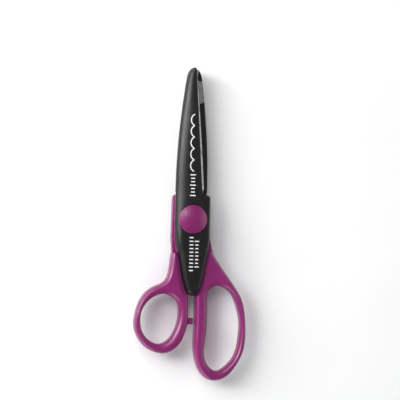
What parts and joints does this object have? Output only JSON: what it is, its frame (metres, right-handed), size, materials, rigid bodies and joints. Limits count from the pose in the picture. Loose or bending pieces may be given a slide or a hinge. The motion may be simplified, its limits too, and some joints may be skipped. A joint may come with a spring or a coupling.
{
  "type": "decorative edge scissors",
  "caption": "Paper edging scissors with scalloped steel blades under black covers, purple handles with a thumb ring and a long finger loop, and round caps over the pivot.",
  "frame": {"origin": "on the pivot's axis, on the flat of the back cap, which the scissors rest on", "axes": "+Z out of the front face along the pivot, +Y towards the tips of the blades, +X towards the finger loop"},
  "size_m": [0.0601, 0.1643, 0.017],
  "materials": {
    "blade_steel": "ground",
    "screw_steel": "plated",
    "purple_plastic": "satin moulded",
    "black_plastic": "fine grain",
    "white_ink": "pad printed"
  },
  "bodies": {
    "back_half": {"back_blade": "blade_steel", "thumb_handle": "purple_plastic", "back_cover": "black_plastic", "back_cap": "purple_plastic", "pivot_nut": "screw_steel", "pivot_screw": "screw_steel", "spring_washer": "screw_steel", "back_rivets": "screw_steel"},
    "front_half": {"front_blade": "blade_steel", "finger_handle": "purple_plastic", "front_cover": "black_plastic", "front_cap": "purple_plastic", "front_rivets": "screw_steel", "wave_legend": "white_ink", "pattern_marks": "white_ink", "tail_marks": "white_ink"}
  },
  "joints": [
    {"name": "scissor_pivot", "type": "hinge", "parent": "back_half", "child": "front_half", "pos_m": [0, 0, 0.0085], "axis": [0, 0, 1], "range_deg": [-1, 45]}
  ]
}
